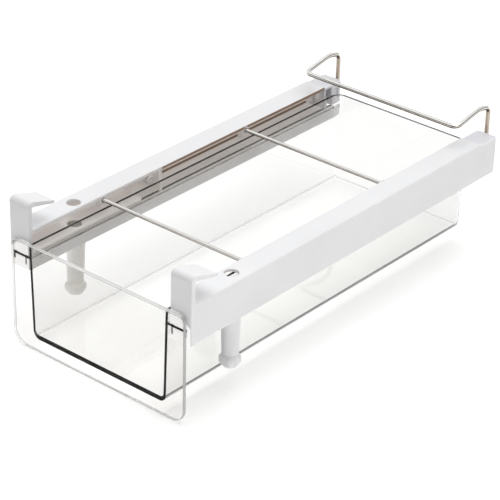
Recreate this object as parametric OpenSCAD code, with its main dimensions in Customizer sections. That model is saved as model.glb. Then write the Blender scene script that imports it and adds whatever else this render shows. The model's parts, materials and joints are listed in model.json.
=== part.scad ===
// Under-shelf pull-out drawer for a refrigerator.
// Two C-shaped rails hang from a shelf: their front hooks grip the shelf's
// front edge, a sprung wire grips its back edge, and a screw jack in each rail
// presses a pad up under the shelf. A clear bin hangs by narrow flanges on the
// rails' upturned lips and pulls out towards -Y.
// Frame: +X across, +Y back along the shelf, +Z up. The origin is on the
// symmetry plane, level with the rails' top faces (the shelf's underside) and
// with the rear faces of the front hooks (the shelf's front edge).

/* [Rails] */
// Half the clear distance between the two rails' top plates
rail_in = 65.2; // [65.1:0.1:65.5]
// Width of one rail
rail_w = 18.4; // [18:0.2:19]
// Height of one rail
rail_h = 29.8; // [29.2:0.2:32]
// Length of a rail behind the hook's rear face
rail_len = 340; // [336:1:350]
// Wall thickness of the rail's top plate, side and floor
rail_t = 2; // [1.8:0.1:2.2]

/* [Hooks] */
// Thickness of the hook's upright plate
hook_t = 3.7; // [3.4:0.1:4]
// Height of the hook's top above the shelf seat
hook_top = 20.8; // [18:0.2:24]
// Slope of the hook's lip, downwards to the back
lip_slope = 17.8; // [14:0.2:19]

/* [Bin] */
// Half the outer width of the bin's walls at their top
bin_half = 64.3; // [64:0.1:64.5]
// Depth below the shelf seat of the bin's wall tops
bin_top = 9.4; // [9.4:0.1:9.8]
// Depth below the shelf seat of the bin's underside
bin_bottom = 82.2; // [70:0.2:88]
// Outer length of the bin behind the hook's rear face, at its top
bin_len = 334; // [328:1:334]
// Wall thickness of the bin
bin_t = 2.2; // [1.8:0.1:2.4]

/* [Front panel] */
// Width of the front panel
panel_w = 160; // [156:1:164]
// Depth below the shelf seat of the panel's top edge
panel_top = 8.3; // [8:0.1:9]
// Depth below the shelf seat of the panel's bottom edge
panel_bottom = 91.3; // [88:0.1:100]
// Corner radius at the panel's bottom
panel_r = 11; // [6:0.5:14]

/* [Rods and wire] */
// Diameter of the two cross rods
rod_d = 2.8; // [2.4:0.1:2.8]
// Distance of the front cross rod behind the hooks
rod1_y = 69; // [66:1:72]
// Distance of the rear cross rod behind the hooks
rod2_y = 223; // [200:1:250]
// Diameter of the rear hook wire
wire_d = 3.4; // [3:0.1:3.6]

/* [Screw jacks] */
// Distance of the jack axis from the centre plane
jack_x = 73.2; // [73.1:0.1:73.4]
// Distance of the jack axis behind the hooks
jack_y = 47.6; // [46:0.1:50]
// Length of the sleeve below the rail
sleeve_len = 31.8; // [31:0.2:34]
// Number of lobes round each knob
knob_lobes = 4; // [3:1:6]

/* [Hidden] */
$fn = 64;
e = 0.01;

rail_out = rail_in + rail_w;          // outer face of a rail
wall_in = rail_out - rail_t;          // inner face of a rail's side
floor_top = -rail_h + rail_t;         // top of a rail's floor
ret_t = 1.4;                          // upturned lip of a rail
ret_top = -20.6;                        // its top, which carries the bin
web_top = -16.4;                      // hold-down web of the front section
web_bot = web_top - 2;
web_len = 108;
rib_y = 127.5;                        // rib behind the front roller
rib_t = 2.3;
cap_y = 318;                          // where the end cap starts
cap_top = -1.2;                       // end cap's top, a little lower
roller_r = 3.4;
roller_w = 4;
roller_bore = 1.15;
axle_r = 1.1;
roller_z = -bin_top + 0.2 + roller_r; // rolls just over the bin's wall top
roller_x = 63.9;                      // inner face of a roller
roller1_y = 117.3;
roller2_y = 309;
rod_z = -3.2;
rod_r = rod_d / 2;
boss_r = 3;
hole_r = 5.2;                         // jack's opening in top plate and web
wire_r = wire_d / 2;
wire_x = 71.7;                        // leg of the wire from the centre
wire_y = rail_len + 0.8 + wire_r;     // legs stand just behind the rails
wire_foot_z = -10.4;
wire_top = 19.5;                      // height of the leg's top bend
wire_bar_y = wire_y - 41;             // crossbar
sleeve_r1 = 6.95;
sleeve_r2 = 5.95;
sleeve_bot = -rail_h - sleeve_len;
plunger_r = 4.1;
pad_r = 4.6;
pad_top = -17;
pad_h = 3;
screw_r = 2;
knob_r = 7.8;
knob_h = 10.7;
flange_out = 68.3;                    // outer face of the bin's hooked flange
flange_top = -18.7;
flange_bot = ret_top + 0.05;          // it rests on the rail's upturned lip
lip_bot = -25.8;
ear_out = 79.6;
ear_bot = -24.5;
ear_y = -1.9;                         // rear face of the ear, in the hook's recess
panel_y = -hook_t - 0.25;              // rear face of the front panel
panel_t = 3;

// A 2D rectangle from (x0, y0) to (x1, y1) with corner radius r
module rrect(x0, y0, x1, y1, r) {
    translate([x0 + r, y0]) square([x1 - x0 - 2 * r, y1 - y0]);
    translate([x0, y0 + r]) square([x1 - x0, y1 - y0 - 2 * r]);
    for (x = [x0 + r, x1 - r], y = [y0 + r, y1 - r]) translate([x, y]) circle(r);
}

// A box from corner a to corner b
module bx(a, b) { translate(a) cube(b - a); }

// 2D (u, v) to Y, Z, extruded along X from x0 to x1
module along_x(x0, x1) { translate([x0, 0, 0]) rotate([90, 0, 90]) linear_extrude(x1 - x0) children(); }

// 2D (u, v) to X, Z, extruded along Y from y0 to y1
module along_y(y0, y1) { translate([0, y1, 0]) rotate([90, 0, 0]) linear_extrude(y1 - y0) children(); }

// A cylinder along X
module xcyl(x0, x1, y, z, r) { translate([x0, y, z]) rotate([0, 90, 0]) cylinder(r = r, h = x1 - x0); }

// ---------------------------------------------------------------- rails

// Cross-section of the right rail: a C with an upturned inner lip
module rail_section() {
    difference() {
        rrect(rail_in, -rail_h, rail_out, 0, 0.7);
        rrect(rail_in + ret_t, floor_top, wall_in, -rail_t, 0.6);
        translate([rail_in - 1, ret_top]) square([4, -ret_top - rail_t]);
    }
}

// Side view of the front hook, u towards the back and v up
module hook_profile() {
    c = [1.0, hook_top - (hook_t + 1.0)];
    ro = hook_t + 1.0;
    a = 90 - lip_slope;
    lip_l = 17.2;
    p1 = c + ro * [cos(a), sin(a)];
    p2 = p1 + lip_l * [cos(lip_slope), -sin(lip_slope)];
    k = p2 + 2.2 * [sin(lip_slope), cos(lip_slope)];
    q1 = c + 1.0 * [cos(a), sin(a)];
    // upright plate
    translate([-hook_t, -rail_h]) square([hook_t, rail_h + c[1]]);
    // bend over the top
    intersection() {
        difference() { translate(c) circle(ro); translate(c) circle(1.0); }
        polygon([c, c + 9 * [-1, 0], c + 9 * [-1, 1], c + 12 * [cos(a), sin(a)]]);
    }
    // sloping lip, thinner towards its upcurled tip; its root reaches into the bend
    s0 = -90 - lip_slope;
    s1 = -86;
    t0 = k + 3.2 * [cos(s1), sin(s1)];
    polygon(concat([q1, c + 1.6 * [cos(a + 5), sin(a + 5)], c + 4.1 * [cos(a + 5), sin(a + 5)], p1],
                   [for (t = [0 : 4]) k + 2.2 * [cos(s0 + t * (s1 - s0) / 4), sin(s0 + t * (s1 - s0) / 4)]],
                   [t0 + [0.9 * cos(4) - sin(4), 0.9 * sin(4) + cos(4)], t0 + [0.9 * cos(4) + sin(4), 0.9 * sin(4) - cos(4)]],
                   [for (t = [4 : -1 : 0]) k + 4.2 * [cos(s0 + t * (s1 - s0) / 4), sin(s0 + t * (s1 - s0) / 4)]]));
    translate(t0 + 0.9 * [cos(4), sin(4)]) circle(1);
}

module rail_body() {
    union() {
        difference() {
            union() {
                // C section, with the top plate ending at the end cap
                difference() {
                    along_y(0, rail_len) rail_section();
                    bx([rail_in - 1, cap_y, cap_top], [rail_out + 1, rail_len + 1, 1]);
                    bx([rail_in - 1, cap_y, -rail_t - 2], [wall_in, rail_len + 1, 1]);
                }
                // front hook, rounded in plan
                intersection() {
                    along_x(rail_in, rail_out) hook_profile();
                    translate([0, 0, -rail_h - 1]) linear_extrude(rail_h + hook_top + 5)
                        rrect(rail_in, -hook_t, rail_out, 23, 0.8);
                }
                // hold-down web over the bin's flange in the front section
                bx([rail_in + 0.6, -e, web_bot], [wall_in + e, web_len, web_top]);
                // short wall that closes the rear of the web's pocket
                bx([rail_in + 6.5, web_len - 1.6, web_bot], [wall_in + e, web_len, -rail_t + e]);
                // rib behind the front roller
                bx([rail_in + 0.6, rib_y, web_bot], [wall_in + e, rib_y + rib_t, -rail_t + e]);
                // bosses for the cross rods
                for (y = [rod1_y, rod2_y]) {
                    xcyl(rail_in - 0.3, rail_in + 7, y, rod_z, boss_r);
                    bx([rail_in + 3, y - 0.8, -rail_t - 9], [rail_in + 7, y + 0.8, -rail_t + e]);
                }
                // plates that carry the roller axles
                for (y = [roller1_y, roller2_y]) {
                    bx([70.2, y - 5, roller_z - 4], [72.4, y + 5, -rail_t + e]);
                    xcyl(roller_x + roller_w + 0.2, 70.3, y, roller_z, 2);
                }
            }
            // slot for the bin's flange through the hook plate
            bx([rail_in - 1, -hook_t - 1, ret_top], [flange_out + 0.4, e, web_bot]);
            bx([flange_out - 1.55, -hook_t - 1, lip_bot - 0.4], [flange_out + 0.4, e, web_bot]);
            // groove in the plate's front that takes the guide ear
            bx([flange_out + 0.3, -hook_t - 1, ret_top - 0.35], [ear_out + 0.4, ear_y + 0.3, flange_top + 0.35]);
            bx([ear_out - 2, -hook_t - 1, ear_bot - 0.4], [ear_out + 0.4, ear_y + 0.3, flange_top + 0.35]);
            // jack's opening through the top plate, the web and the floor
            translate([jack_x, jack_y, web_bot - 1]) cylinder(r = hole_r, h = -web_bot + 2);
            translate([jack_x, jack_y, -rail_h - 1]) cylinder(r = hole_r, h = rail_t + 2);
            // blind bores for the cross rods, countersunk
            for (y = [rod1_y, rod2_y]) {
                xcyl(rail_in - 1, rail_in + 6, y, rod_z, rod_r);
                xcyl(rail_in - 1, rail_in + 0.6, y, rod_z, rod_r + 0.7);
            }
            // bores for the roller axles
            for (y = [roller1_y, roller2_y]) xcyl(60, 76, y, roller_z, axle_r);
            // rear end leans forward towards the bottom, and its outer corner is round
            translate([rail_in - 5, rail_len, 0]) rotate([-4, 0, 0]) bx([0, 0, -rail_h - 5], [rail_w + 10, 8, 3]);
            translate([rail_out - 3, rail_len - 3, -rail_h - 1]) difference() {
                cube([5, 5, rail_h + 2]);
                translate([0, 0, -1]) cylinder(r = 3, h = rail_h + 4);
            }
        }
    }
}

module rail_right() { color([0.94, 0.94, 0.95]) rail_body(); }
module rail_left() { color([0.94, 0.94, 0.95]) mirror([1, 0, 0]) rail_body(); }

// End cap in the rear of a rail: holds the foot of the wire
module cap_body() {
    x0 = rail_in + 0.3;
    x1 = wall_in;
    difference() {
        union() {
            // front rib
            bx([x0, cap_y, web_bot], [x1, cap_y + rib_t, cap_top]);
            // top plate
            along_y(cap_y, rail_len - 0.2) rrect(x0 - 0.3, cap_top - 2, x1, cap_top, 0.5);
            // socket block
            bx([x0, cap_y + 9, web_bot + 0.4], [x1, rail_len - 0.2, cap_top - e]);
        }
        // socket for the wire's foot, open to the back
        translate([wire_x, rail_len + 1, wire_foot_z]) rotate([90, 0, 0]) cylinder(r = wire_r, h = 18);
        // groove in which the wire turns up
        bx([wire_x - wire_r, rail_len - 3.2, wire_foot_z], [wire_x + wire_r, rail_len + 1, wire_foot_z + 5]);
        // rear end leans as the rail does, and its inner corner is round
        translate([rail_in - 5, rail_len - 0.2, 0]) rotate([-4, 0, 0]) bx([0, 0, -rail_h - 5], [rail_w + 10, 8, 3]);
        translate([x0 - 2.3, rail_len - 3.2, -rail_h]) difference() {
            cube([5, 5, rail_h + 1]);
            translate([5, 0, -1]) cylinder(r = 3, h = rail_h + 4);
        }
        // recess in the block's side
        bx([x0 - 1, cap_y + 12, -14.5], [x0 + 1.2, cap_y + 18, -6]);
    }
}
module end_cap_right() { color([0.92, 0.92, 0.93]) cap_body(); }
module end_cap_left() { color([0.92, 0.92, 0.93]) mirror([1, 0, 0]) cap_body(); }

// ---------------------------------------------------------------- rods and wire

// Cross rod with chamfered ends
module rod(y) {
    l = rail_in + 6;
    xcyl(-l + 0.4, l - 0.4, y, rod_z, rod_r);
    for (s = [-1, 1]) translate([s * (l - 0.4 - e), y, rod_z]) rotate([0, s * 90, 0]) cylinder(r1 = rod_r, r2 = rod_r - 0.35, h = 0.35);
}
module rod_front() { color([0.75, 0.75, 0.76]) rod(rod1_y); }
module rod_rear() { color([0.75, 0.75, 0.76]) rod(rod2_y); }

// A straight stretch of wire between two points of the YZ plane, a hair
// thinner than the bends, whose ends it enters
module leg2(p, q) {
    d = q - p;
    rotate([90, 0, 90]) translate([p[0], p[1], 0]) rotate([0, 0, atan2(d[1], d[0])]) rotate([0, 90, 0])
        translate([0, 0, -0.2]) cylinder(r = wire_r - 0.02, h = norm(d) + 0.4);
}

// A bend of the wire in the YZ plane: centre, radius, start angle and sweep
module bend2(c, r, a0, da) {
    rotate([90, 0, 90]) translate([c[0], c[1], 0]) rotate([0, 0, a0]) rotate_extrude(angle = da) translate([r, 0]) circle(wire_r);
}

// The wire's side view: foot, leg, top bend, arched arm, slope to the bar
wire_rb = 4.5;                          // radius of the tight bends
wire_rk = 22;                           // radius of the arch
wire_rc = 5;                            // radius of the corners to the bar
wire_a1 = 166;                          // direction of the arm's rise
wire_a2 = 190.5;                        // direction of its slope to the bar
wire_c1 = [wire_y - wire_rb, wire_top - wire_rb];
wire_p1 = wire_c1 + wire_rb * [sin(wire_a1), -cos(wire_a1)];
wire_k = wire_p1 + 4 * [cos(wire_a1), sin(wire_a1)];
wire_c2 = wire_k + wire_rk * [-sin(wire_a1), cos(wire_a1)];
wire_p2 = wire_c2 + wire_rk * [sin(wire_a2), -cos(wire_a2)];
wire_p3 = wire_p2 + ((wire_p2[0] - wire_bar_y) / -cos(wire_a2) - wire_rc) * [cos(wire_a2), sin(wire_a2)];
wire_pb = wire_p3 + wire_rc * [cos(wire_a2), sin(wire_a2)];

module half_wire() {
    translate([wire_x, 0, 0]) {
        leg2([rail_len - 15, wire_foot_z], [wire_y - wire_rb, wire_foot_z]);
        bend2([wire_y - wire_rb, wire_foot_z + wire_rb], wire_rb, -90, 90);
        leg2([wire_y, wire_foot_z + wire_rb], [wire_y, wire_c1[1]]);
        bend2(wire_c1, wire_rb, 0, wire_a1 - 90);
        leg2(wire_p1, wire_k);
        bend2(wire_c2, wire_rk, wire_a1 - 90, wire_a2 - wire_a1);
        leg2(wire_p2, wire_p3);
    }
    // corner between the arm and the crossbar
    translate([wire_x - wire_rc, wire_p3[0], wire_p3[1]]) rotate([wire_a2 - 180, 0, 0])
        rotate_extrude(angle = -90) translate([wire_rc, 0]) circle(wire_r);
}
module rear_wire_hook() {
    $fn = 28;
    color([0.78, 0.76, 0.74]) {
        half_wire();
        mirror([1, 0, 0]) half_wire();
        xcyl(-wire_x + wire_rc - 0.2, wire_x - wire_rc + 0.2, wire_pb[0], wire_pb[1], wire_r - 0.02);
    }
}

// ---------------------------------------------------------------- rollers

module roller(y) {
    difference() {
        union() {
            xcyl(roller_x + 0.4, roller_x + roller_w - 0.4, y, roller_z, roller_r);
            translate([roller_x, y, roller_z]) rotate([0, 90, 0]) cylinder(r1 = roller_r - 0.4, r2 = roller_r, h = 0.4 + e);
            translate([roller_x + roller_w - 0.4 - e, y, roller_z]) rotate([0, 90, 0]) cylinder(r1 = roller_r, r2 = roller_r - 0.4, h = 0.4 + e);
        }
        xcyl(roller_x - 1, roller_x + roller_w + 1, y, roller_z, roller_bore);
        difference() {
            xcyl(roller_x - 1, roller_x + 0.5, y, roller_z, 2.5);
            xcyl(roller_x - 2, roller_x + 1, y, roller_z, 1.8);
        }
    }
}
module roller_front_right() { color([0.85, 0.83, 0.82]) roller(roller1_y); }
module roller_rear_right() { color([0.85, 0.83, 0.82]) roller(roller2_y); }
module roller_front_left() { color([0.85, 0.83, 0.82]) mirror([1, 0, 0]) roller(roller1_y); }
module roller_rear_left() { color([0.85, 0.83, 0.82]) mirror([1, 0, 0]) roller(roller2_y); }

module axle(y) { xcyl(roller_x + 0.3, 75, y, roller_z, axle_r); }
module roller_axles() {
    color([0.6, 0.6, 0.62]) for (y = [roller1_y, roller2_y]) { axle(y); mirror([1, 0, 0]) axle(y); }
}

// ---------------------------------------------------------------- bin

// Drafted tub with rounded edges, inset by d, from the plane y0 back
module tub(d, y0, z_top, z_bot, r) {
    draft = 1.8;
    hx = bin_half - d;
    hb = hx - draft;
    y1 = bin_len - d;
    yb = y1 - 2.5;
    rt = 8 - d;
    hull() for (s = [-1, 1]) {
        translate([s * (hx - rt), y1 - rt, z_top - 0.1]) cylinder(r = rt, h = 0.1, $fn = 32);
        translate([s * (hb - r), yb - r, z_bot + r]) sphere(r = r, $fn = 32);
        translate([s * (hx - 0.5) - 0.5, y0, z_top - 0.1]) cube([1, 1, 0.1]);
        translate([s * (hb - r), y0 + 1, z_bot + r]) rotate([90, 0, 0]) cylinder(r = r, h = 1, $fn = 32);
    }
}

// Hooked flange along one side of the bin
module bin_flange() {
    bx([bin_half - 1.2, panel_y, flange_bot], [flange_out, bin_len - 6, flange_top]);
    bx([flange_out - 1.15, panel_y, lip_bot], [flange_out, bin_len - 6, flange_bot + e]);
    // wider guide ear behind the panel, which seats in the hook's recess
    bx([flange_out - e, panel_y, flange_bot], [ear_out, ear_y, flange_top]);
    bx([ear_out - 1.6, panel_y, ear_bot], [ear_out, ear_y, flange_bot + e]);
}

module drawer_bin() {
    color([0.85, 0.86, 0.86, 0.4]) difference() {
        union() {
            tub(0, panel_y, -bin_top, -bin_bottom, 6);
            for (s = [0, 1]) mirror([s, 0, 0]) bin_flange();
        }
        // inside, open to the front, where the panel closes it
        tub(bin_t, panel_y - 1, -bin_top + 1, -bin_bottom + bin_t, 4.2);
    }
}

// Clear panel bonded across the bin's open front
module front_panel() {
    color([0.85, 0.86, 0.86, 0.4]) along_y(panel_y - panel_t, panel_y) union() {
        rrect(-panel_w / 2, -panel_bottom, panel_w / 2, -panel_bottom + 40, panel_r);
        rrect(-panel_w / 2, -panel_top - 40, panel_w / 2, -panel_top, 5);
        translate([-panel_w / 2, -panel_bottom + 20]) square([panel_w, panel_bottom - panel_top - 40]);
    }
}

// ---------------------------------------------------------------- screw jacks

module at_jack(s) { translate([s * jack_x, jack_y, 0]) children(); }

// Fixed sleeve plugged into the rail's floor from below
module sleeve(s) {
    at_jack(s) difference() {
        union() {
            translate([0, 0, sleeve_bot]) cylinder(r1 = sleeve_r2, r2 = sleeve_r1, h = sleeve_len);
            translate([0, 0, -rail_h - e]) cylinder(r = hole_r, h = rail_t + e);
        }
        // bore for the plunger, with a key slot
        translate([0, 0, sleeve_bot + 3.7]) cylinder(r = plunger_r + 0.06, h = sleeve_len + 5);
        translate([-0.7, -4.8, sleeve_bot + 4.4]) cube([1.4, 4.8, sleeve_len + 5]);
        // groove that holds the knob's collar, and the mouth under it
        translate([0, 0, sleeve_bot + 2.1]) cylinder(r = 4.9, h = 1.7);
        translate([0, 0, sleeve_bot - 1]) cylinder(r = 3.6, h = 4);
    }
}
module jack_sleeve_left() { color([0.94, 0.94, 0.95]) sleeve(-1); }
module jack_sleeve_right() { color([0.94, 0.94, 0.95]) sleeve(1); }

// Plunger: rises without turning, because its key runs in the sleeve's slot
module plunger(s) {
    zt = pad_top - pad_h;
    zb = sleeve_bot + 4.5;
    at_jack(s) difference() {
        union() {
            translate([0, 0, zb]) cylinder(r = plunger_r, h = zt - zb);
            translate([-0.6, -4.65, zb]) cube([1.2, 4, 14]);
        }
        translate([0, 0, zb - 1]) cylinder(r = screw_r + 0.05, h = zt - zb - 1);
    }
}
module jack_plunger_left() { color([0.88, 0.88, 0.89]) plunger(-1); }
module jack_plunger_right() { color([0.88, 0.88, 0.89]) plunger(1); }

// Soft pad on the plunger, with a rounded rim
module pad(s) {
    at_jack(s) {
        translate([0, 0, pad_top - pad_h]) cylinder(r = pad_r, h = pad_h - 0.6);
        translate([0, 0, pad_top - 0.6 - e]) cylinder(r1 = pad_r, r2 = pad_r - 0.6, h = 0.6 + e);
    }
}
module jack_pad_left() { color([0.55, 0.55, 0.57]) pad(-1); }
module jack_pad_right() { color([0.55, 0.55, 0.57]) pad(1); }

// Steel screw moulded into the knob
module screw(s) {
    at_jack(s) translate([0, 0, sleeve_bot - 4]) {
        cylinder(r = screw_r, h = sleeve_len + 10.2);
        translate([0, 0, sleeve_len + 10.2 - e]) cylinder(r1 = screw_r, r2 = screw_r - 0.6, h = 0.6);
    }
}
module jack_screw_left() { color([0.65, 0.65, 0.67]) screw(-1); }
module jack_screw_right() { color([0.65, 0.65, 0.67]) screw(1); }

// Lobed knob with a neck and collar that snap into the sleeve
module knob(s) {
    at_jack(s) difference() {
        union() {
            translate([0, 0, sleeve_bot - 0.2 - knob_h]) {
                // bowl-shaped body
                rotate_extrude() polygon([[0, 0], [3.2, 0], [4.9, 0.9], [6.1, 2.5], [6.7, 4.6], [6.7, 7.4],
                                          [6.3, 9.3], [5.5, knob_h], [0, knob_h]]);
                // finger lobes
                for (i = [0 : knob_lobes - 1]) rotate([0, 0, 40 + i * 360 / knob_lobes]) translate([knob_r - 2.9, 0, 0])
                    rotate_extrude() polygon([[0, 1.5], [1, 1.5], [2.2, 3.1], [2.9, 5.1], [2.9, 7.9], [2.3, 9.2], [1.2, 9.7], [0, 9.7]]);
            }
            translate([0, 0, sleeve_bot - 0.3]) cylinder(r = 3.4, h = 2.7);
            translate([0, 0, sleeve_bot + 2.3]) cylinder(r = 4.6, h = 1.2);
        }
        translate([0, 0, sleeve_bot - 4]) cylinder(r = screw_r, h = 20);
    }
}
module jack_knob_left() { color([0.93, 0.93, 0.94]) mirror([1, 0, 0]) knob(1); }
module jack_knob_right() { color([0.93, 0.93, 0.94]) knob(1); }

rail_left();
rail_right();
end_cap_left();
end_cap_right();
rod_front();
rod_rear();
rear_wire_hook();
roller_axles();
roller_front_left();
roller_front_right();
roller_rear_left();
roller_rear_right();
drawer_bin();
front_panel();
jack_sleeve_left();
jack_sleeve_right();
jack_plunger_left();
jack_plunger_right();
jack_pad_left();
jack_pad_right();
jack_screw_left();
jack_screw_right();
jack_knob_left();
jack_knob_right();
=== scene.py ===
import bpy, bmesh, json, math
import numpy as np
from mathutils import Matrix, Vector


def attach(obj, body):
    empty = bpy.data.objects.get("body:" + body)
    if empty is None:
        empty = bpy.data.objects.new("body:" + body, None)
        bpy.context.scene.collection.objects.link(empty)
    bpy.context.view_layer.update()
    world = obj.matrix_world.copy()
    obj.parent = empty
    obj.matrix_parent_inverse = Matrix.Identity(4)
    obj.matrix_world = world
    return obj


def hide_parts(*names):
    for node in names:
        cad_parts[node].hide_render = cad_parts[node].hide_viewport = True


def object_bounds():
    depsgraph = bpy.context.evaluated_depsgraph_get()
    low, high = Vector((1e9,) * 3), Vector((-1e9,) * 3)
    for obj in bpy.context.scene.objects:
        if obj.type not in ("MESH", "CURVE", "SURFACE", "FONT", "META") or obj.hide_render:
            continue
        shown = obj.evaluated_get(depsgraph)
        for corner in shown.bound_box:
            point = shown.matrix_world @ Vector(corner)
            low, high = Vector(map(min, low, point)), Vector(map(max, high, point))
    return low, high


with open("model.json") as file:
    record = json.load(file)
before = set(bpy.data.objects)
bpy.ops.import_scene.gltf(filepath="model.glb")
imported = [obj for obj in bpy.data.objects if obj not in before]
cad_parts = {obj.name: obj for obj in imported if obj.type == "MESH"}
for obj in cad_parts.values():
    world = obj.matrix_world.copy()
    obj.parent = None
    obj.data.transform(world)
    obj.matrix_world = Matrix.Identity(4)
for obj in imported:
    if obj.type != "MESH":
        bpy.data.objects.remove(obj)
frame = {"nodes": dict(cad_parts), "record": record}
CAD_BOX = [list(map(float, p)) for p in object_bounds()]
NODES = frame["nodes"]
scene = bpy.context.scene


# ------------------------------------------------------------------ camera

def make_camera():
    az, el, ro = math.radians(39.87), math.radians(29.06), math.radians(1.41)
    fwd = Vector((-math.sin(az) * math.cos(el), math.cos(az) * math.cos(el), -math.sin(el)))
    right = Vector((math.cos(az), math.sin(az), 0.0))
    up = right.cross(fwd)
    x = right * math.cos(ro) + up * math.sin(ro)
    y = -right * math.sin(ro) + up * math.cos(ro)
    z = -fwd
    m = Matrix(((x.x, y.x, z.x, 0.86162), (x.y, y.y, z.y, -0.87799), (x.z, y.z, z.z, 0.69319), (0, 0, 0, 1)))
    cam = bpy.data.cameras.new("camera")
    cam.lens = 152.63
    cam.sensor_width = 36.0
    cam.sensor_fit = "HORIZONTAL"
    cam.clip_start, cam.clip_end = 0.05, 50.0
    cam.dof.use_dof = False
    obj = bpy.data.objects.new("camera", cam)
    scene.collection.objects.link(obj)
    obj.matrix_world = m
    scene.camera = obj


make_camera()


# ------------------------------------------------------------------ node helpers

def new_mat(name):
    m = bpy.data.materials.new(name)
    m.use_nodes = True
    nt = m.node_tree
    for n in list(nt.nodes):
        nt.nodes.remove(n)
    out = nt.nodes.new("ShaderNodeOutputMaterial")
    b = nt.nodes.new("ShaderNodeBsdfPrincipled")
    nt.links.new(b.outputs[0], out.inputs["Surface"])
    return m, nt, b, out


def coords(nt, scale=(1, 1, 1)):
    tc = nt.nodes.new("ShaderNodeTexCoord")
    mp = nt.nodes.new("ShaderNodeMapping")
    mp.inputs["Scale"].default_value = scale
    nt.links.new(tc.outputs["Object"], mp.inputs["Vector"])
    return mp.outputs["Vector"]


def noise(nt, vec, scale, detail=3.0, rough=0.5):
    n = nt.nodes.new("ShaderNodeTexNoise")
    n.inputs["Scale"].default_value = scale
    n.inputs["Detail"].default_value = detail
    n.inputs["Roughness"].default_value = rough
    nt.links.new(vec, n.inputs["Vector"])
    return n.outputs["Fac"]


def ramp(nt, fac, stops):
    r = nt.nodes.new("ShaderNodeValToRGB")
    cr = r.color_ramp
    while len(cr.elements) < len(stops):
        cr.elements.new(0.5)
    for e, (p, c) in zip(cr.elements, stops):
        e.position = p
        e.color = (c[0], c[1], c[2], 1.0)
    nt.links.new(fac, r.inputs["Fac"])
    return r.outputs["Color"]


def maprange(nt, fac, lo, hi, a=0.0, b=1.0):
    r = nt.nodes.new("ShaderNodeMapRange")
    r.inputs["From Min"].default_value = a
    r.inputs["From Max"].default_value = b
    r.inputs["To Min"].default_value = lo
    r.inputs["To Max"].default_value = hi
    nt.links.new(fac, r.inputs["Value"])
    return r.outputs["Result"]


def math_node(nt, op, a, b=None):
    m = nt.nodes.new("ShaderNodeMath")
    m.operation = op
    for i, v in enumerate((a, b)):
        if v is None:
            continue
        if isinstance(v, (int, float)):
            m.inputs[i].default_value = v
        else:
            nt.links.new(v, m.inputs[i])
    return m.outputs[0]


def bump(nt, height, distance, strength=1.0, normal=None):
    b = nt.nodes.new("ShaderNodeBump")
    b.inputs["Distance"].default_value = distance
    b.inputs["Strength"].default_value = strength
    nt.links.new(height, b.inputs["Height"])
    if normal is not None:
        nt.links.new(normal, b.inputs["Normal"])
    return b.outputs["Normal"]


# ------------------------------------------------------------------ materials

def white_plastic(name, lo, hi, rough=(0.34, 0.46), grain=0.00002, glow=None):
    """Satin white moulding: faint cloudiness, fine spark-eroded grain and slow waviness. A glow, where given, is
    painted light: an even emission that brightens the surface as if more light reached it.
    """
    m, nt, b, out = new_mat(name)
    v = coords(nt)
    cloud = noise(nt, v, 28.0, 4.0, 0.55)
    nt.links.new(ramp(nt, cloud, [(0.3, lo), (0.7, hi)]), b.inputs["Base Color"])
    mott = noise(nt, v, 190.0, 3.0, 0.6)
    nt.links.new(maprange(nt, mott, rough[0], rough[1], 0.3, 0.7), b.inputs["Roughness"])
    fine = noise(nt, v, 5200.0, 2.0, 0.6)
    slow = noise(nt, coords(nt, (1.0, 0.25, 1.0)), 60.0, 2.0, 0.5)
    n1 = bump(nt, slow, 0.00012, 0.5)
    n2 = bump(nt, fine, grain, 0.7, n1)
    nt.links.new(n2, b.inputs["Normal"])
    b.inputs["IOR"].default_value = 1.5
    b.inputs["Subsurface Weight"].default_value = 0.25
    b.inputs["Subsurface Radius"].default_value = (0.003, 0.0026, 0.0024)
    b.inputs["Subsurface Scale"].default_value = 1.0
    # painted light: emission standing in for light the surface does not get
    if glow:
        b.inputs["Emission Color"].default_value = (*glow[0], 1.0)
        b.inputs["Emission Strength"].default_value = glow[1]
    return m


def steel(name, lo, hi, rough=(0.08, 0.16), along="X", painted_reflection=None):
    """Polished drawn wire: fine draw lines along its run, small tarnish clouds and, where given, a painted reflection:
    darker undersides, tan sides and white tops, set by which way each face turns.
    """
    m, nt, b, out = new_mat(name)
    s = (40.0, 2600.0, 2600.0) if along == "X" else (2600.0, 2600.0, 90.0)
    lines = noise(nt, coords(nt, s), 1.0, 3.0, 0.6)
    cloud = noise(nt, coords(nt), 160.0, 3.0, 0.6)
    base = ramp(nt, cloud, [(0.25, lo), (0.75, hi)])
    # painted reflection: colour read from how far the surface faces up, multiplied into the steel colour
    if painted_reflection:
        geo = nt.nodes.new("ShaderNodeNewGeometry")
        sp = nt.nodes.new("ShaderNodeSeparateXYZ")
        nt.links.new(geo.outputs["Normal"], sp.inputs[0])
        painted_reflection_tone = ramp(nt, maprange(nt, sp.outputs["Z"], 0.0, 1.0, -1.0, 1.0), painted_reflection)
        mul = nt.nodes.new("ShaderNodeMix")
        mul.data_type = "RGBA"
        mul.blend_type = "MULTIPLY"
        mul.inputs[0].default_value = 1.0
        nt.links.new(base, mul.inputs[6])
        nt.links.new(painted_reflection_tone, mul.inputs[7])
        base = mul.outputs[2]
    nt.links.new(base, b.inputs["Base Color"])
    r = math_node(nt, "ADD", maprange(nt, lines, 0.0, 0.05, 0.3, 0.7), maprange(nt, cloud, rough[0], rough[1], 0.3, 0.7))
    nt.links.new(r, b.inputs["Roughness"])
    nt.links.new(bump(nt, lines, 0.000012, 0.5), b.inputs["Normal"])
    b.inputs["Metallic"].default_value = 1.0
    return m


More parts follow.
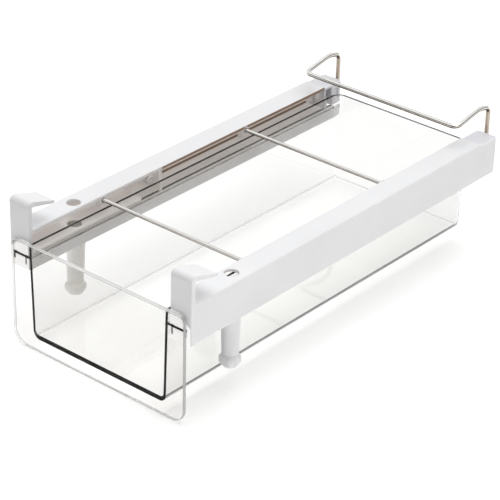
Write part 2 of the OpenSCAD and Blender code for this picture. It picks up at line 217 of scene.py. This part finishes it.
def clear_plastic(name, tint, density, rough=(0.012, 0.04), gloss=1.0, ior=1.49):
    """Clear polished moulding that lets lamp light through, with a faint waviness and fine scuffs."""
    m, nt, b, out = new_mat(name)
    v = coords(nt)
    wave = noise(nt, coords(nt, (1.0, 0.35, 1.0)), 45.0, 2.0, 0.5)
    scuff = noise(nt, coords(nt, (900.0, 60.0, 900.0)), 1.0, 3.0, 0.65)
    r = maprange(nt, scuff, rough[0], rough[1], 0.45, 0.8)
    nt.links.new(r, b.inputs["Roughness"])
    nt.links.new(bump(nt, wave, 0.00006, 0.35), b.inputs["Normal"])
    b.inputs["Base Color"].default_value = (*tint, 1.0)
    b.inputs["Transmission Weight"].default_value = 1.0
    b.inputs["Specular Tint"].default_value = (gloss, gloss, gloss, 1.0)
    b.inputs["IOR"].default_value = ior
    lp = nt.nodes.new("ShaderNodeLightPath")
    tr = nt.nodes.new("ShaderNodeBsdfTransparent")
    tr.inputs["Color"].default_value = (density, density, density * 0.99, 1.0)
    mix = nt.nodes.new("ShaderNodeMixShader")
    nt.links.new(lp.outputs["Is Shadow Ray"], mix.inputs[0])
    nt.links.new(b.outputs[0], mix.inputs[1])
    nt.links.new(tr.outputs[0], mix.inputs[2])
    nt.links.new(mix.outputs[0], out.inputs["Surface"])
    return m


def rubber(name):
    m, nt, b, out = new_mat(name)
    v = coords(nt)
    c = noise(nt, v, 320.0, 4.0, 0.6)
    nt.links.new(ramp(nt, c, [(0.3, (0.23, 0.24, 0.2)), (0.7, (0.33, 0.34, 0.28))]), b.inputs["Base Color"])
    nt.links.new(maprange(nt, c, 0.62, 0.82, 0.3, 0.7), b.inputs["Roughness"])
    nt.links.new(bump(nt, noise(nt, v, 4200.0, 2.0), 0.00004, 0.8), b.inputs["Normal"])
    return m


def edge_clear(name, lo, hi, solid, rough=0.32):
    """Cut or moulded edge of a clear part: mostly scatters light, the rest goes straight through. The tones it is given
    below are painted light and shade: lighter copies for edges that catch light, darker ones for edges that show dark
    through the clear part.
    """
    m, nt, b, out = new_mat(name)
    v = coords(nt)
    c = noise(nt, v, 420.0, 3.0, 0.6)
    nt.links.new(ramp(nt, c, [(0.3, lo), (0.7, hi)]), b.inputs["Base Color"])
    nt.links.new(maprange(nt, c, rough - 0.06, rough + 0.08, 0.3, 0.7), b.inputs["Roughness"])
    nt.links.new(bump(nt, noise(nt, v, 2600.0, 2.0), 0.00002, 0.5), b.inputs["Normal"])
    b.inputs["IOR"].default_value = 1.49
    tr = nt.nodes.new("ShaderNodeBsdfTransparent")
    tr.inputs["Color"].default_value = (0.97, 0.97, 0.965, 1.0)
    mix = nt.nodes.new("ShaderNodeMixShader")
    mix.inputs[0].default_value = solid
    nt.links.new(tr.outputs[0], mix.inputs[1])
    nt.links.new(b.outputs[0], mix.inputs[2])
    nt.links.new(mix.outputs[0], out.inputs["Surface"])
    return m


def bond_line(name):
    """Joint between the bin and its front sheet, which looks dark through the sheet."""
    m, nt, b, out = new_mat(name)
    v = coords(nt)
    c = noise(nt, v, 260.0, 3.0, 0.6)
    nt.links.new(ramp(nt, c, [(0.3, (0.004, 0.004, 0.004)), (0.75, (0.012, 0.012, 0.012))]), b.inputs["Base Color"])
    nt.links.new(maprange(nt, c, 0.5, 0.65, 0.3, 0.7), b.inputs["Roughness"])
    nt.links.new(bump(nt, noise(nt, v, 1800.0, 2.0), 0.00002, 0.5), b.inputs["Normal"])
    b.inputs["Specular IOR Level"].default_value = 0.05
    return m


M_RAIL = white_plastic("white_moulding", (0.85, 0.855, 0.87), (0.89, 0.89, 0.90))
# painted light: warm glow on the left jack's sleeve and knob, lightening them where they sit in shade behind the clear
# bin
M_RAIL_PAINTED_GLOW = white_plastic("white_moulding_painted_glow", (0.88, 0.865, 0.84), (0.92, 0.90, 0.875), glow=((1.0, 0.96, 0.90), 0.10))
# painted light: faint warm glow on the rail channel's inner faces, lightening their shade
M_RAIL_INSIDE_GLOW = white_plastic("white_moulding_inside_painted_glow", (0.85, 0.84, 0.835), (0.89, 0.88, 0.875), glow=((1.0, 0.86, 0.78), 0.075))
# painted shade: dark brown for strips in the rail channel, standing in for deep shadow under the top plate
M_RAIL_SHADE = white_plastic("white_moulding_shaded", (0.30, 0.19, 0.125), (0.345, 0.222, 0.148))
# painted light: strong glow on the hook plate's front behind the clear sheet and in its flange slot
M_RAIL_PAINTED_LIGHT = white_plastic("white_moulding_behind_sheet_painted_light", (0.88, 0.88, 0.88), (0.91, 0.91, 0.91), glow=((1.0, 1.0, 1.0), 0.42))
M_CAP = white_plastic("white_cap", (0.79, 0.79, 0.83), (0.84, 0.84, 0.87))
M_JACK = white_plastic("white_jack", (0.80, 0.80, 0.82), (0.86, 0.86, 0.87), (0.3, 0.42))
M_ROLLER = white_plastic("natural_plastic", (0.66, 0.63, 0.61), (0.74, 0.71, 0.69), (0.32, 0.5))
# painted reflection for the steel, from facing down to facing up: dark undersides, a tan band at the sides, white upper
# faces and a little greyer straight up
PAINTED_REFLECTION_BANDS = [(0.0, (0.10, 0.09, 0.08)), (0.26, (0.05, 0.04, 0.035)), (0.39, (0.15, 0.12, 0.09)), (0.465, (0.38, 0.32, 0.26)),
         (0.505, (0.56, 0.48, 0.40)), (0.545, (0.94, 0.89, 0.83)), (0.61, (1.0, 1.0, 0.98)), (0.95, (1.0, 1.0, 0.99)), (1.0, (0.74, 0.72, 0.69))]
M_ROD = steel("drawn_steel_rod", (0.88, 0.87, 0.86), (0.95, 0.95, 0.94), painted_reflection=PAINTED_REFLECTION_BANDS)
M_WIRE = steel("drawn_steel_wire", (0.88, 0.87, 0.86), (0.95, 0.95, 0.94), painted_reflection=PAINTED_REFLECTION_BANDS)
M_PIN = steel("turned_steel", (0.5, 0.5, 0.5), (0.62, 0.61, 0.6), (0.22, 0.34))
M_CLEAR = clear_plastic("clear_moulding", (0.87, 0.87, 0.863), 0.985, gloss=0.7)
M_PANEL = clear_plastic("clear_panel", (0.935, 0.93, 0.92), 0.99, gloss=0.6, ior=1.15)
M_PAD = rubber("soft_pad")
# edge tones for the clear parts: a mid grey edge and its painted highlight, painted shade, painted dark line and faint
# painted shade copies
M_EDGE = edge_clear("clear_edge", (0.66, 0.66, 0.66), (0.74, 0.74, 0.73), 0.75)
M_EDGE_PAINTED_HIGHLIGHT = edge_clear("clear_edge_painted_highlight", (0.93, 0.93, 0.93), (0.96, 0.96, 0.96), 0.8)
M_EDGE_PAINTED_SHADE = edge_clear("clear_edge_painted_shade", (0.42, 0.42, 0.41), (0.50, 0.50, 0.49), 0.85)
M_EDGE_PAINTED_DARK_LINE = edge_clear("clear_edge_painted_dark_line", (0.12, 0.12, 0.12), (0.18, 0.18, 0.18), 0.7)
M_EDGE_PAINTED_FAINT_SHADE = edge_clear("clear_edge_painted_faint_shade", (0.40, 0.40, 0.40), (0.48, 0.48, 0.48), 0.45)
M_RIM_PAINTED_SHADE_LINE = edge_clear("clear_rim_painted_shade_line", (0.30, 0.29, 0.28), (0.38, 0.37, 0.36), 0.5)
M_CORNER_PAINTED_FAINT_SHADE = edge_clear("clear_corner_painted_faint_shade", (0.45, 0.45, 0.45), (0.52, 0.52, 0.52), 0.4)
M_CORNER_PAINTED_SHADE = edge_clear("clear_corner_painted_shade", (0.015, 0.015, 0.015), (0.03, 0.03, 0.03), 0.94)
M_BOND = bond_line("bond_line")


# ------------------------------------------------------------------ refined pieces

BODY = {n: b for b, ns in frame["record"]["behaviour"]["bodies"].items() for n in ns}


def even_normals(me, limit):
    """Corner normals led by the largest face around each vertex, so that flat faces shade flat and edges round."""
    c = math.cos(math.radians(limit))
    nor = [p.normal.copy() for p in me.polygons]
    area = [max(p.area, 1e-12) for p in me.polygons]
    around = [[] for _ in me.vertices]
    for p in me.polygons:
        for v in p.vertices:
            around[v].append(p.index)
    out = []
    for p in me.polygons:
        n0 = nor[p.index]
        for v in p.vertices:
            n = Vector((0.0, 0.0, 0.0))
            for g in around[v]:
                if n0.dot(nor[g]) > c:
                    n += nor[g] * area[g]
            out.append(n.normalized() if n.length > 0 else n0)
    me.normals_split_custom_set(out)


def finish_mesh(bm, name, mats, sharp):
    for e in bm.edges:
        e.smooth = not (len(e.link_faces) == 2 and e.calc_face_angle(0.0) > math.radians(sharp))
    for f in bm.faces:
        f.smooth = True
    me = bpy.data.meshes.new(name)
    bm.to_mesh(me)
    bm.free()
    for a in [a.name for a in me.attributes if a.name == "custom_normal"]:
        me.attributes.remove(me.attributes[a])
    for m in mats:
        me.materials.append(m)
    even_normals(me, sharp)
    o = bpy.data.objects.new(name, me)
    scene.collection.objects.link(o)
    return o


def safe_edges(bm, angle, shortest, pick):
    """Sharp edges that can be rounded over: none that meets a short sharp edge."""
    sharp = [e for e in bm.edges if len(e.link_faces) == 2 and e.calc_face_angle(0.0) > math.radians(angle)]
    shy = {v for e in sharp if e.calc_length() < shortest for v in e.verts}
    return [e for e in sharp if not (e.verts[0] in shy or e.verts[1] in shy) and (pick is None or pick(e))]


def refine(node, mats, bevel=0.0, angle=28.0, segs=2, sharp=48.0, paint=None, line=-1, shift=None, pick=None, cut=None):
    """A cleaner copy of a CAD solid: flat faces joined, edges rounded over by bevel metres, curved faces smooth."""
    bm = bmesh.new()
    bm.from_mesh(NODES[node].data)
    bmesh.ops.remove_doubles(bm, verts=bm.verts[:], dist=2e-6)
    bmesh.ops.dissolve_limit(bm, angle_limit=math.radians(0.6), verts=bm.verts[:], edges=bm.edges[:])
    bmesh.ops.recalc_face_normals(bm, faces=bm.faces[:])
    # split the front faces along the border of the painted light zone behind the clear sheet
    if cut is not None:
        front = [f for f in bm.faces if f.normal.y < -0.9 and f.calc_center_median().y < -0.003]
        geo = front + list({e for f in front for e in f.edges}) + list({v for f in front for v in f.verts})
        bmesh.ops.bisect_plane(bm, geom=geo, dist=1e-6, plane_co=(0, 0, cut), plane_no=(0, 0, 1))
        for co, no in (((0.0797, 0, 0), (1, 0, 0)), ((-0.0797, 0, 0), (1, 0, 0)), ((0.0652, 0, 0), (1, 0, 1)), ((-0.0652, 0, 0), (-1, 0, 1))):
            face = [f for f in bm.faces if f.normal.y < -0.9 and f.calc_center_median().y < -0.003 and f.calc_center_median().z < cut]
            geo = face + list({e for f in face for e in f.edges}) + list({v for f in face for v in f.verts})
            bmesh.ops.bisect_plane(bm, geom=geo, dist=1e-6, plane_co=co, plane_no=no)
        # split the channel walls along the borders of the painted shade strips
        for co, no in (((0, 0.1302, 0), (0, 1, 0)), ((0, 0.148, 0), (0, 1, 0)), ((0, 0, -0.0176), (0, 0, 1)), ((0, 0, -0.0155), (0, 0, 1))):
            wall = [f for f in bm.faces if abs(f.normal.x) > 0.9 and (abs(abs(f.calc_center_median().x) - 0.0816) < 0.0002
                    or abs(abs(f.calc_center_median().x) - 0.0652) < 0.0004)]
            geo = wall + list({e for f in wall for e in f.edges}) + list({v for f in wall for v in f.verts})
            bmesh.ops.bisect_plane(bm, geom=geo, dist=1e-6, plane_co=co, plane_no=no)
    for f in bm.faces:
        f.material_index = paint(f) if paint else 0
    if shift:
        for v in bm.verts:
            shift(v)
    if bevel > 0:
        es = safe_edges(bm, angle, 6.0 * bevel, pick)
        bmesh.ops.bevel(bm, geom=es, offset=bevel, offset_type="OFFSET", segments=segs, profile=0.5,
                        affect="EDGES", clamp_overlap=False, material=line, loop_slide=True)
    o = finish_mesh(bm, node + "_piece", mats, sharp)
    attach(o, BODY[node])
    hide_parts(node)
    return o


def tube(name, path, r, mat, body, node, sides=28):
    """Round bar swept along a path of points, with closed ends."""
    pts = [Vector(p) for p in path]
    bm = bmesh.new()
    rings = []
    t = (pts[1] - pts[0]).normalized()
    n = t.orthogonal().normalized()
    for i, p in enumerate(pts):
        a = pts[max(i - 1, 0)]
        c = pts[min(i + 1, len(pts) - 1)]
        t2 = (c - a).normalized()
        n = (n - t2 * n.dot(t2)).normalized()
        bnorm = t2.cross(n)
        rings.append([bm.verts.new(p + (n * math.cos(k * 2 * math.pi / sides) + bnorm * math.sin(k * 2 * math.pi / sides)) * r) for k in range(sides)])
    for a, c in zip(rings, rings[1:]):
        for k in range(sides):
            bm.faces.new((a[k], a[(k + 1) % sides], c[(k + 1) % sides], c[k]))
    bm.faces.new(rings[0][::-1])
    bm.faces.new(rings[-1])
    bmesh.ops.recalc_face_normals(bm, faces=bm.faces[:])
    o = finish_mesh(bm, name, [mat], 60.0)
    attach(o, body)
    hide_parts(node)
    return o


def wire_path():
    """Centreline of the rear wire in millimetres, from foot to foot."""
    r, rb, rk, rc = 1.7, 4.5, 22.0, 5.0
    foot, top = -10.4, 19.5
    y = 340 + 0.8 + r
    bar = y - 41
    a1, a2 = math.radians(166), math.radians(190.5)
    side = []

    def seg(p, q, n):
        for i in range(n):
            side.append((p[0] + (q[0] - p[0]) * i / n, p[1] + (q[1] - p[1]) * i / n))

    def arc(c, rad, s, d, n):
        for i in range(n):
            t = s + d * i / n
            side.append((c[0] + rad * math.cos(t), c[1] + rad * math.sin(t)))

    c1 = (y - rb, top - rb)
    p1 = (c1[0] + rb * math.sin(a1), c1[1] - rb * math.cos(a1))
    k = (p1[0] + 4 * math.cos(a1), p1[1] + 4 * math.sin(a1))
    c2 = (k[0] - rk * math.sin(a1), k[1] + rk * math.cos(a1))
    p2 = (c2[0] + rk * math.sin(a2), c2[1] - rk * math.cos(a2))
    run = (p2[0] - bar) / -math.cos(a2) - rc
    p3 = (p2[0] + run * math.cos(a2), p2[1] + run * math.sin(a2))
    seg((325, foot), (y - rb, foot), 3)
    arc((y - rb, foot + rb), rb, -math.pi / 2, math.pi / 2, 8)
    seg((y, foot + rb), c1 and (y, c1[1]), 6)
    arc(c1, rb, 0.0, a1 - math.pi / 2, 10)
    seg(p1, k, 2)
    arc(c2, rk, a1 - math.pi / 2, a2 - a1, 10)
    seg(p2, p3, 5)
    half = [(71.7, u, v) for u, v in side]
    d = (math.cos(a2), math.sin(a2))
    for i in range(9):
        t = math.pi / 2 * i / 8
        half.append((71.7 - rc + rc * math.cos(t), p3[0] + rc * math.sin(t) * d[0], p3[1] + rc * math.sin(t) * d[1]))
    end = half[-1]
    bar_pts = [(end[0] * (1 - 2 * i / 12), end[1], end[2]) for i in range(1, 12)]
    full = half + bar_pts + [(-x, yy, zz) for x, yy, zz in reversed(half)]
    return [(x / 1000, yy / 1000, zz / 1000) for x, yy, zz in full]


def paint_rail(f):
    c = f.calc_center_median()
    s = 1.0 if c.x > 0 else -1.0
    # painted shade: dark brown strip on the top plate's inner edge behind the rib, and a narrow band on the wall below
    # it, standing in for the deep shadow in the open channel
    if 0.13 < c.y < 0.318 and abs(abs(c.x) - 0.0652) < 0.0004 and -0.00205 < c.z < -0.0001:
        return 3
    if c.y > 0.148 and abs(abs(c.x) - 0.0816) < 0.0002 and -0.0176 < c.z < -0.0155:
        return 3
    # painted light: the hook plate's front below the clear sheet's top, and the faces of the flange slot, glow bright
    # so that they show white through the sheet with no dark in the slot
    if f.normal.y < -0.9 and c.y < -0.003 and c.z < PANEL_TOP and abs(c.x) < 0.0797 and abs(c.x) + c.z < 0.0652:
        return 2
    if c.y < 0.0045 and 0.0655 < abs(c.x) < 0.0815 and -0.0265 < c.z < -0.0155:
        return 2
    # painted light: the channel's inner faces above the lower flange take the warm painted glow
    if abs(c.x) > 0.0655 and abs(c.x) < 0.0825 and c.z < -0.0015 and 0.0 < c.y < 0.3395 and not (c.y < 0.002 and abs(f.normal.y) > 0.5):
        if f.normal.x * s < -0.6 or abs(f.normal.z) > 0.6 or abs(f.normal.y) > 0.6:
            return 1 if c.z > -0.0295 else 0
    return 0


PANEL_TOP = -0.0083


for side in ("left", "right"):
    refine("rail_" + side, [M_RAIL, M_RAIL_INSIDE_GLOW, M_RAIL_PAINTED_LIGHT, M_RAIL_SHADE], 0.00022, sharp=48.0, paint=paint_rail, cut=PANEL_TOP)
    refine("end_cap_" + side, [M_CAP], 0.0002)
    # the left jack's sleeve and knob take the painted glow
    refine("jack_sleeve_" + side, [M_RAIL_PAINTED_GLOW if side == "left" else M_RAIL], 0.0002)
    refine("jack_knob_" + side, [M_RAIL_PAINTED_GLOW if side == "left" else M_JACK], 0.0)
    refine("jack_plunger_" + side, [M_JACK], 0.00015)
    refine("jack_pad_" + side, [M_PAD], 0.0002, segs=3)
    refine("jack_screw_" + side, [M_PIN], 0.0)
    for end in ("front", "rear"):
        refine("roller_%s_%s" % (end, side), [M_ROLLER], 0.00012)
refine("rod_front", [M_ROD], 0.0)
refine("rod_rear", [M_ROD], 0.0)
refine("roller_axles", [M_PIN], 0.0001)
tube("rear_wire", wire_path(), 0.00169, M_WIRE, BODY["rear_wire_hook"], "rear_wire_hook")

PANEL_BACK = -0.00395


def bin_levels(d, r):
    """Outlines of the bin's skin from its rim down: corner centre x, corner centre y, corner radius, height."""
    hx, hb, y1, yb, rt, zt, zb = 64.3 - d, 62.5 - d, 334.0 - d, 331.5 - d, 8.0 - d, -9.4, -82.2 + d
    out = []
    for i in range(9):
        t = i / 9
        out.append(((hx - rt) * (1 - t) + (hb - r) * t, (y1 - rt) * (1 - t) + (yb - r) * t,
                    rt * (1 - t) + r * t, zt * (1 - t) + (zb + r) * t))
    for i in range(25):
        a = -math.pi / 2 * i / 24
        out.append((hb - r, yb - r, r * math.cos(a), zb + r + r * math.sin(a)))
    return out


def outline(cx, cy, rc, y0):
    pts = [(-cx - rc, y0 + (cy - y0) * i / 12) for i in range(12)]
    pts += [(-cx - rc * math.cos(a), cy + rc * math.sin(a)) for a in [math.pi / 2 * i / 12 for i in range(12)]]
    pts += [(-cx + 2 * cx * i / 8, cy + rc) for i in range(8)]
    pts += [(cx + rc * math.sin(a), cy + rc * math.cos(a)) for a in [math.pi / 2 * i / 12 for i in range(12)]]
    pts += [(cx + rc, cy - (cy - y0) * i / 12) for i in range(13)]
    return pts


def strip(bm, rows, mats, flip=False):
    """Faces between neighbouring rows of points; mats gives each row pair's material."""
    for (a, b), m in zip(zip(rows, rows[1:]), mats):
        for i in range(len(a) - 1):
            q = (a[i], a[i + 1], b[i + 1], b[i])
            f = bm.faces.new(q[::-1] if flip else q)
            f.material_index = m


def prism(bm, prof, y0, y1, front, other=0):
    """Bar of a constant section along Y. prof is a list of convex quads; front gives each one's front material."""
    for q, m in zip(prof, front):
        va = [bm.verts.new((x, y0, z)) for x, z in q]
        vb = [bm.verts.new((x, y1, z)) for x, z in q]
        bm.faces.new(va).material_index = m
        bm.faces.new(vb[::-1]).material_index = other
        for i in range(4):
            j = (i + 1) % 4
            bm.faces.new((va[j], va[i], vb[i], vb[j])).material_index = other


# arc levels of the bin's bottom corner that carry its painted shade line
CORNER = (9, 17)


def build_bin():
    """Clear tub as one shell: skin inside and out, flat rim, open front whose end faces carry the dark joint."""
    y0 = PANEL_BACK * 1000 + 0.12
    bm = bmesh.new()
    skins = []
    for d, r in ((0.0, 6.0), (2.2, 4.2)):
        skins.append([[bm.verts.new((x, y, z)) for x, y in outline(cx, cy, rc, y0)] for cx, cy, rc, z in bin_levels(d, r)])
    outer, inner = skins
    n = len(outer)
    # painted shade: the outer skin's bottom corner arc gets a near-black line, standing in for the dark edge the curved
    # clear corner shows
    strip(bm, outer, [4 if 9 + CORNER[0] <= i < 9 + CORNER[1] else 0 for i in range(n)])
    strip(bm, inner, [0] * n, True)

    def between(a, b, f):
        return [bm.verts.new(p.co + (q.co - p.co) * f) for p, q in zip(a, b)]

    # rim, with its two thin edge lines in grey as painted shade, standing in for how its edges show through the clear
    # plastic
    w = (0.16, 0.84)
    rows = [outer[0]] + [between(outer[0], inner[0], f) for f in w] + [inner[0]]
    strip(bm, rows, [3, 0, 3], True)
    # end faces at the front: joint line narrower up the sides than along the bottom
    beads = []
    for k, flip in ((0, False), (-1, True)):
        a = [lv[k] for lv in outer]
        b = [lv[k] for lv in inner]
        lo, hi, bead = [], [], []
        for i, (p, q) in enumerate(zip(a, b)):
            t = max(0.0, (i - 9) / (n - 10))
            lo.append(bm.verts.new(p.co + (q.co - p.co) * (0.12 * (1 - t))))
            hi.append(bm.verts.new(p.co + (q.co - p.co) * (0.80 * (1 - t) + 1.0 * t)))
            bead.append((q.co.copy(), q.co + (q.co - p.co) * 0.62 * t))
        strip(bm, [a, lo, hi, b], [0, 2, 0], flip)
        beads.append(bead[11:])
    # floor, inside and out, and its front end
    def ring(lv):
        pts = []
        for v in lv:
            if not pts or (v.co - pts[-1].co).length > 1e-4:
                pts.append(v)
        return pts
    bm.faces.new(ring(outer[-1]))
    bm.faces.new(ring(inner[-1])[::-1])
    f = bm.faces.new((outer[-1][0], outer[-1][-1], inner[-1][-1], inner[-1][0]))
    f.material_index = 2
    # painted shade: away from the right side the corner line gives way to a faint painted band 42 to 54 degrees round
    # the arc, and clear elsewhere
    for f in bm.faces:
        if f.material_index == 4:
            c = f.calc_center_median()
            if c.x < 50 or c.y > 327:
                low = math.degrees(math.atan2(-76.2 - c.z, max(abs(c.x) - 56.5, c.y - 325.5)))
                f.material_index = 5 if 42 < low < 54 else 0
    bmesh.ops.remove_doubles(bm, verts=bm.verts[:], dist=1e-4)
    bmesh.ops.recalc_face_normals(bm, faces=bm.faces[:])
    # bead of the joint that rises a little over the floor at the front, following the corners
    path = beads[0] + beads[1][::-1]
    rows = []
    for k in (0, 1):
        for dy in ((0.0, 0.25) if k == 0 else (0.25, 0.0)):
            rows.append([bm.verts.new((c[k].x, c[k].y + dy, c[k].z)) for c in path])
    strip(bm, [rows[0], rows[3], rows[2], rows[1], rows[0]], [2, 2, 2, 2], True)
    # hooked flanges and guide ears
    for s in (-1, 1):
        top, bot, lip, ear = -18.7, -20.55, -25.8, -24.5

        def q(x0, x1, z0, z1):
            c = [(s * x0, z0), (s * x1, z0), (s * x1, z1), (s * x0, z1)]
            return c if s > 0 else c[::-1]

        prism(bm, [q(64.05, 68.3, bot, top), q(67.15, 68.3, lip, bot)], y0, 328.0, [2, 0])
        prism(bm, [q(68.31, 79.6, bot, top), q(78.0, 79.6, ear, bot)], y0, -1.9, [2, 2])
    bmesh.ops.scale(bm, vec=(0.001, 0.001, 0.001), verts=bm.verts[:])
    o = finish_mesh(bm, "drawer_bin_piece", [M_CLEAR, M_EDGE, M_BOND, M_RIM_PAINTED_SHADE_LINE, M_CORNER_PAINTED_SHADE, M_CORNER_PAINTED_FAINT_SHADE], 30.0)
    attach(o, BODY["drawer_bin"])
    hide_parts("drawer_bin")


build_bin()


def build_panel():
    """Clear sheet with rounded corners: bevelled edge all round, with painted highlight and painted shade lines on its
    edge bands, lighter along the top and darker along the right, standing in for how its edge catches light and shows
    through it.
    """
    back = PANEL_BACK * 1000
    front = back - 3.0
    arcs = ((69.0, -80.3, 11.0, -90), (75.0, -13.3, 5.0, 0), (-75.0, -13.3, 5.0, 90), (-69.0, -80.3, 11.0, 180))
    levels = ((1.0, front), (0.4, front), (0.0, front + 0.4), (0.0, back - 0.4), (0.4, back), (1.0, back))
    # painted light and shade per side, front to back across the edge: a painted highlight on the top's front bevel over
    # a mid grey edge face, painted shade on the right's front bevel and edge with a dark line on its back bevel, faint
    # painted shade lines on the other bands
    paint = {"right": (0, 2, 2, 4, 0), "top": (5, 3, 1, 5, 0), "left": (5, 0, 0, 5, 5), "bottom": (5, 5, 0, 5, 5)}
    bm = bmesh.new()
    rings = []
    for d, y in levels:
        ring = []
        for cx, cz, r, a0 in arcs:
            for i in range(11):
                a = math.radians(a0 + 9 * i)
                ring.append(bm.verts.new((cx + (r - d) * math.cos(a), y, cz + (r - d) * math.sin(a))))
        rings.append(ring)
    n = len(rings[0])
    for k in range(n):
        m = (k + 1) % n
        e = rings[2][m].co - rings[2][k].co
        e.normalize()
        nx, nz = e.z, -e.x
        side = "right" if nx > 0.5 else "top" if nz > 0.5 else "left" if nx < -0.6 else "bottom"
        for i, (a, b) in enumerate(zip(rings, rings[1:])):
            bm.faces.new((a[k], a[m], b[m], b[k])).material_index = paint[side][i]
    bm.faces.new(rings[0])
    bm.faces.new(rings[-1][::-1])
    bmesh.ops.recalc_face_normals(bm, faces=bm.faces[:])
    bmesh.ops.scale(bm, vec=(0.001, 0.001, 0.001), verts=bm.verts[:])
    o = finish_mesh(bm, "front_panel_piece", [M_PANEL, M_EDGE, M_EDGE_PAINTED_SHADE, M_EDGE_PAINTED_HIGHLIGHT, M_EDGE_PAINTED_DARK_LINE, M_EDGE_PAINTED_FAINT_SHADE], 20.0)
    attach(o, BODY["front_panel"])
    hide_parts("front_panel")


build_panel()


# ------------------------------------------------------------------ floor and light

def make_stage():
    z = CAD_BOX[0][2] - 0.0002
    bm = bmesh.new()
    x0, x1, y0, y1, n = -5.0, 3.0, -0.75, 8.0, 12
    grid = [[bm.verts.new((x0 + (x1 - x0) * i / n, y0 + (y1 - y0) * j / n, z)) for j in range(n + 1)] for i in range(n + 1)]
    for i in range(n):
        for j in range(n):
            bm.faces.new((grid[i][j], grid[i + 1][j], grid[i + 1][j + 1], grid[i][j + 1]))
    me = bpy.data.meshes.new("floor")
    bm.to_mesh(me)
    bm.free()
    o = bpy.data.objects.new("floor", me)
    scene.collection.objects.link(o)
    m, nt, b, out = new_mat("pale_floor")
    c = noise(nt, coords(nt), 6.0, 2.0)
    nt.links.new(ramp(nt, c, [(0.3, (0.88, 0.88, 0.88)), (0.7, (0.90, 0.90, 0.90))]), b.inputs["Base Color"])
    b.inputs["Roughness"].default_value = 0.9
    b.inputs["Specular IOR Level"].default_value = 0.1
    b.inputs["Emission Color"].default_value = (1.0, 1.0, 1.0, 1.0)
    b.inputs["Emission Strength"].default_value = 0.30
    me.materials.append(m)


make_stage()


def area(name, loc, target, size, energy, color=(1, 1, 1)):
    l = bpy.data.lights.new(name, "AREA")
    l.shape = "RECTANGLE"
    l.size, l.size_y = size
    l.energy = energy
    l.color = color
    o = bpy.data.objects.new(name, l)
    scene.collection.objects.link(o)
    o.location = loc
    d = Vector(target) - Vector(loc)
    o.rotation_euler = d.to_track_quat("-Z", "Y").to_euler()
    return o


def make_light():
    """Soft studio dome: brightest overhead, dimmer to the front, dark under the horizon."""
    w = bpy.data.worlds.new("studio")
    scene.world = w
    w.use_nodes = True
    nt = w.node_tree
    bg = nt.nodes["Background"]
    tc = nt.nodes.new("ShaderNodeTexCoord")
    sp = nt.nodes.new("ShaderNodeSeparateXYZ")
    nt.links.new(tc.outputs["Generated"], sp.inputs[0])
    up = math_node(nt, "MULTIPLY", sp.outputs["Z"], 0.8)
    side = math_node(nt, "MULTIPLY", sp.outputs["X"], -0.45)
    back = math_node(nt, "MULTIPLY", sp.outputs["Y"], 0.34)
    total = math_node(nt, "ADD", math_node(nt, "ADD", up, side), math_node(nt, "ADD", back, 0.09))
    total = math_node(nt, "MINIMUM", math_node(nt, "MAXIMUM", total, 0.05), 1.35)
    nt.links.new(ramp(nt, total, [(0.0, (0.0, 0.0, 0.0)), (1.0, (1.0, 1.0, 1.0))]), bg.inputs["Color"])
    bg.inputs["Strength"].default_value = 1.0
    area("key", (0.25, 0.3, 1.6), (0, 0.15, 0), (1.3, 1.3), 10.8)
    area("side", (0.72, -0.12, 0.3), (-0.05, 0.05, -0.015), (0.6, 0.35), 0.85, (1.0, 0.94, 0.9))


make_light()
scene.view_settings.view_transform = "Standard"
scene.view_settings.look = "None"
scene.cycles.max_bounces = 16
scene.cycles.transmission_bounces = 14
scene.cycles.transparent_max_bounces = 16
